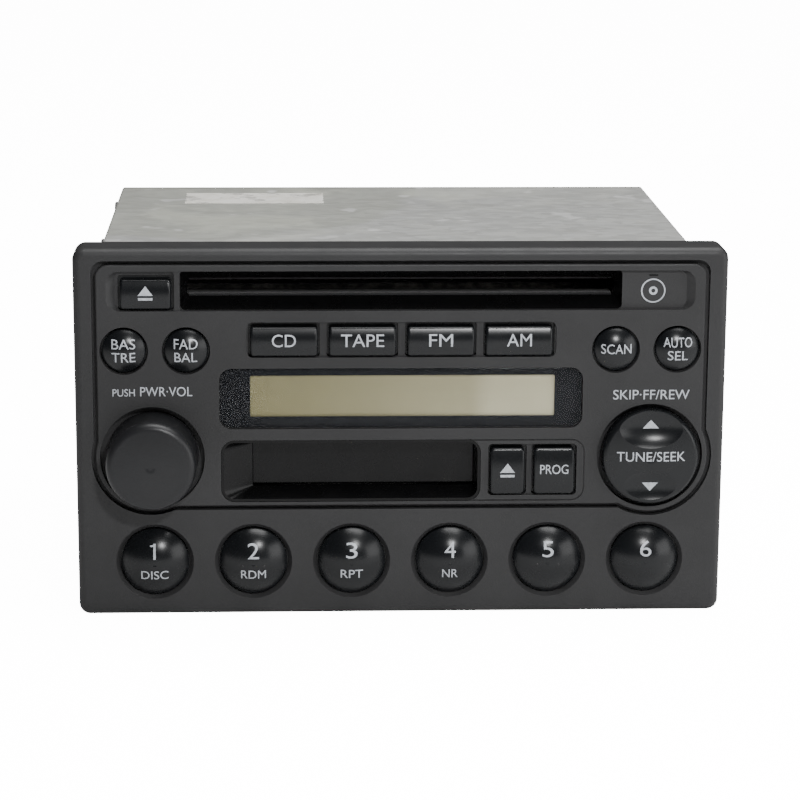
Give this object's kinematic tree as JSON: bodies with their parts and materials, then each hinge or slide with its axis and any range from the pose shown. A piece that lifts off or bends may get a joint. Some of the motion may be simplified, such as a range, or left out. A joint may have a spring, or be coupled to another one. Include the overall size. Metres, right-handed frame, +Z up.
{
  "type": "car radio",
  "caption": "Double-height car radio with a disc slot, a cassette bay, a display, rotary volume knob, tuning rocker and push buttons on a sheet-steel chassis.",
  "frame": {"origin": "middle of the radio's footprint, on the level of the face's lower edge", "axes": "+X the viewer's right, -Y towards the driver, +Z up"},
  "size_m": [0.1914, 0.1748, 0.1106],
  "materials": {
    "face_plastic": "fine-grained charcoal moulding",
    "button_gloss": "glossy blue-black",
    "knob_satin": "satin charcoal",
    "black_lining": "glossy black",
    "felt": "short black pile",
    "smoked_lens": "smoked clear plastic",
    "liquid_crystal": "olive-beige crystal, unlit",
    "galvanised_sheet": "dull zinc-coated sheet",
    "heat_sink_aluminium": "as extruded",
    "board_laminate": "green lacquered laminate",
    "black_components": "moulded packages",
    "bright_steel": "plated",
    "brass_turned": "turned",
    "black_rubber": "matt",
    "black_moulding": "moulded",
    "black_zinc": "black zinc plate",
    "white_acetal": "moulded"
  },
  "bodies": {
    "chassis": {"antenna_socket": "bright_steel", "board_components": "black_components", "bottom_cover": "galvanised_sheet", "cd_deck": "galvanised_sheet", "centre_panel": "face_plastic", "cover_screws": "black_zinc", "disc_slot_felts": "felt", "disc_slot_funnel": "black_lining", "display_lens": "smoked_lens", "front_back_shell": "black_moulding", "front_board_components": "black_components", "front_circuit_board": "board_laminate", "front_frame": "face_plastic", "harness_connector": "black_moulding", "heat_sink": "heat_sink_aluminium", "lcd_panel": "liquid_crystal", "main_circuit_board": "board_laminate", "rear_plate": "galvanised_sheet", "side_plate_left": "galvanised_sheet", "side_plate_right": "galvanised_sheet", "tape_deck": "galvanised_sheet", "tape_drive_belt": "black_rubber", "tape_motor": "bright_steel", "tape_surround": "black_lining", "top_cover": "galvanised_sheet", "tuner_module": "galvanised_sheet", "volume_encoder": "black_components"},
    "cd_eject_button": {"cd_eject_button": "button_gloss"},
    "source_button_cd": {"source_button_cd": "button_gloss"},
    "source_button_tape": {"source_button_tape": "button_gloss"},
    "source_button_fm": {"source_button_fm": "button_gloss"},
    "source_button_am": {"source_button_am": "button_gloss"},
    "bass_treble_button": {"bass_treble_button": "button_gloss"},
    "fade_balance_button": {"fade_balance_button": "button_gloss"},
    "scan_button": {"scan_button": "button_gloss"},
    "auto_select_button": {"auto_select_button": "button_gloss"},
    "tape_eject_button": {"tape_eject_button": "button_gloss"},
    "program_button": {"program_button": "button_gloss"},
    "preset_button_1": {"preset_button_1": "button_gloss"},
    "preset_button_2": {"preset_button_2": "button_gloss"},
    "preset_button_3": {"preset_button_3": "button_gloss"},
    "preset_button_4": {"preset_button_4": "button_gloss"},
    "preset_button_5": {"preset_button_5": "button_gloss"},
    "preset_button_6": {"preset_button_6": "button_gloss"},
    "volume_shaft": {"volume_shaft": "bright_steel"},
    "volume_knob": {"volume_knob": "knob_satin"},
    "tune_seek_rocker": {"tune_seek_rocker": "button_gloss"},
    "tape_door": {"tape_door": "black_lining"},
    "cd_turntable": {"cd_turntable": "black_moulding"},
    "cd_laser_sled": {"cd_laser_sled": "black_moulding"},
    "cd_lead_screw": {"cd_lead_screw": "bright_steel"},
    "cd_loading_roller": {"cd_loading_roller": "black_rubber"},
    "cd_clamp_arm": {"cd_clamp_arm": "galvanised_sheet"},
    "tape_reel_hub_supply": {"tape_reel_hub_supply": "white_acetal"},
    "tape_reel_hub_takeup": {"tape_reel_hub_takeup": "white_acetal"},
    "tape_flywheel_forward": {"tape_flywheel_forward": "brass_turned"},
    "tape_flywheel_reverse": {"tape_flywheel_reverse": "brass_turned"},
    "tape_head_carrier": {"tape_head_carrier": "galvanised_sheet"},
    "tape_cassette_holder": {"tape_cassette_holder": "galvanised_sheet"},
    "tape_motor_pulley": {"tape_motor_pulley": "brass_turned"}
  },
  "joints": [
    {"name": "cd_eject_press", "type": "slide", "parent": "chassis", "child": "cd_eject_button", "axis": [0, 1, 0], "range_m": [0, 0.0008], "stiffness_N_per_m": 200},
    {"name": "source_button_cd_press", "type": "slide", "parent": "chassis", "child": "source_button_cd", "axis": [0, 1, 0], "range_m": [0, 0.0008], "stiffness_N_per_m": 200},
    {"name": "source_button_tape_press", "type": "slide", "parent": "chassis", "child": "source_button_tape", "axis": [0, 1, 0], "range_m": [0, 0.0008], "stiffness_N_per_m": 200},
    {"name": "source_button_fm_press", "type": "slide", "parent": "chassis", "child": "source_button_fm", "axis": [0, 1, 0], "range_m": [0, 0.0008], "stiffness_N_per_m": 200},
    {"name": "source_button_am_press", "type": "slide", "parent": "chassis", "child": "source_button_am", "axis": [0, 1, 0], "range_m": [0, 0.0008], "stiffness_N_per_m": 200},
    {"name": "bass_treble_press", "type": "slide", "parent": "chassis", "child": "bass_treble_button", "axis": [0, 1, 0], "range_m": [0, 0.0008], "stiffness_N_per_m": 200},
    {"name": "fade_balance_press", "type": "slide", "parent": "chassis", "child": "fade_balance_button", "axis": [0, 1, 0], "range_m": [0, 0.0008], "stiffness_N_per_m": 200},
    {"name": "scan_press", "type": "slide", "parent": "chassis", "child": "scan_button", "axis": [0, 1, 0], "range_m": [0, 0.0008], "stiffness_N_per_m": 200},
    {"name": "auto_select_press", "type": "slide", "parent": "chassis", "child": "auto_select_button", "axis": [0, 1, 0], "range_m": [0, 0.0008], "stiffness_N_per_m": 200},
    {"name": "tape_eject_press", "type": "slide", "parent": "chassis", "child": "tape_eject_button", "axis": [0, 1, 0], "range_m": [0, 0.0008], "stiffness_N_per_m": 200},
    {"name": "program_press", "type": "slide", "parent": "chassis", "child": "program_button", "axis": [0, 1, 0], "range_m": [0, 0.0008], "stiffness_N_per_m": 200},
    {"name": "preset_button_1_press", "type": "slide", "parent": "chassis", "child": "preset_button_1", "axis": [0, 1, 0], "range_m": [0, 0.0008], "stiffness_N_per_m": 200},
    {"name": "preset_button_2_press", "type": "slide", "parent": "chassis", "child": "preset_button_2", "axis": [0, 1, 0], "range_m": [0, 0.0008], "stiffness_N_per_m": 200},
    {"name": "preset_button_3_press", "type": "slide", "parent": "chassis", "child": "preset_button_3", "axis": [0, 1, 0], "range_m": [0, 0.0008], "stiffness_N_per_m": 200},
    {"name": "preset_button_4_press", "type": "slide", "parent": "chassis", "child": "preset_button_4", "axis": [0, 1, 0], "range_m": [0, 0.0008], "stiffness_N_per_m": 200},
    {"name": "preset_button_5_press", "type": "slide", "parent": "chassis", "child": "preset_button_5", "axis": [0, 1, 0], "range_m": [0, 0.0008], "stiffness_N_per_m": 200},
    {"name": "preset_button_6_press", "type": "slide", "parent": "chassis", "child": "preset_button_6", "axis": [0, 1, 0], "range_m": [0, 0.0008], "stiffness_N_per_m": 200},
    {"name": "volume_push", "type": "slide", "parent": "chassis", "child": "volume_shaft", "axis": [0, 1, 0], "range_m": [0, 0.0008], "stiffness_N_per_m": 300},
    {"name": "volume_turn", "type": "hinge", "parent": "volume_shaft", "child": "volume_knob", "pos_m": [-0.0732, -0.0748, 0.0483], "axis": [0, 1, 0], "continuous": true},
    {"name": "tune_seek_rock", "type": "hinge", "parent": "chassis", "child": "tune_seek_rocker", "pos_m": [0.0737, -0.0683, 0.0483], "axis": [1, 0, 0], "range_deg": [-3.5, 3.5], "stiffness_Nm_per_rad": 0.3},
    {"name": "tape_door_swing", "type": "hinge", "parent": "chassis", "child": "tape_door", "pos_m": [-0.0531, -0.0666, 0.0522], "axis": [1, 0, 0], "range_deg": [0, 88], "stiffness_Nm_per_rad": 0.002},
    {"name": "cd_turntable_spin", "type": "hinge", "parent": "chassis", "child": "cd_turntable", "pos_m": [0, 0.0066, 0.0981], "axis": [0, 0, 1], "continuous": true},
    {"name": "cd_laser_travel", "type": "slide", "parent": "chassis", "child": "cd_laser_sled", "axis": [1, 0, 0], "range_m": [0, 0.033]},
    {"name": "cd_lead_screw_turn", "type": "hinge", "parent": "chassis", "child": "cd_lead_screw", "pos_m": [0, 0.0196, 0.0867], "axis": [1, 0, 0], "range_deg": [0, 3961]},
    {"name": "cd_roller_spin", "type": "hinge", "parent": "chassis", "child": "cd_loading_roller", "pos_m": [0, -0.0574, 0.0944], "axis": [1, 0, 0], "continuous": true},
    {"name": "cd_clamp_close", "type": "hinge", "parent": "chassis", "child": "cd_clamp_arm", "pos_m": [0, 0.0704, 0.1017], "axis": [1, 0, 0], "range_deg": [0, 2.5], "stiffness_Nm_per_rad": 1},
    {"name": "tape_hub_supply_spin", "type": "hinge", "parent": "chassis", "child": "tape_reel_hub_supply", "pos_m": [-0.0138, -0.03005, 0.03], "axis": [0, 0, 1], "continuous": true},
    {"name": "tape_hub_takeup_spin", "type": "hinge", "parent": "chassis", "child": "tape_reel_hub_takeup", "pos_m": [-0.0138, 0.01245, 0.03], "axis": [0, 0, 1], "continuous": true},
    {"name": "tape_flywheel_forward_spin", "type": "hinge", "parent": "chassis", "child": "tape_flywheel_forward", "pos_m": [0.0156, -0.0428, 0.025], "axis": [0, 0, 1], "continuous": true},
    {"name": "tape_flywheel_reverse_spin", "type": "hinge", "parent": "chassis", "child": "tape_flywheel_reverse", "pos_m": [0.0156, 0.0252, 0.025], "axis": [0, 0, 1], "continuous": true},
    {"name": "tape_pulley_spin", "type": "hinge", "parent": "chassis", "child": "tape_motor_pulley", "pos_m": [-0.066, -0.0308, 0.025], "axis": [0, 0, 1], "continuous": true},
    {"name": "tape_head_engage", "type": "slide", "parent": "chassis", "child": "tape_head_carrier", "axis": [-1, 0, 0], "range_m": [0, 0.0082], "stiffness_N_per_m": 120},
    {"name": "tape_holder_lower", "type": "slide", "parent": "chassis", "child": "tape_cassette_holder", "axis": [0, 0, -1], "range_m": [0, 0.006], "stiffness_N_per_m": 1500}
  ],
  "couplings": [
    {"joint": "cd_lead_screw_turn", "follows": "cd_laser_travel", "rad_per_m": 2094.4},
    {"joint": "tape_flywheel_reverse_spin", "follows": "tape_flywheel_forward_spin", "ratio": 1},
    {"joint": "tape_pulley_spin", "follows": "tape_flywheel_forward_spin", "ratio": 4.1667}
  ]
}
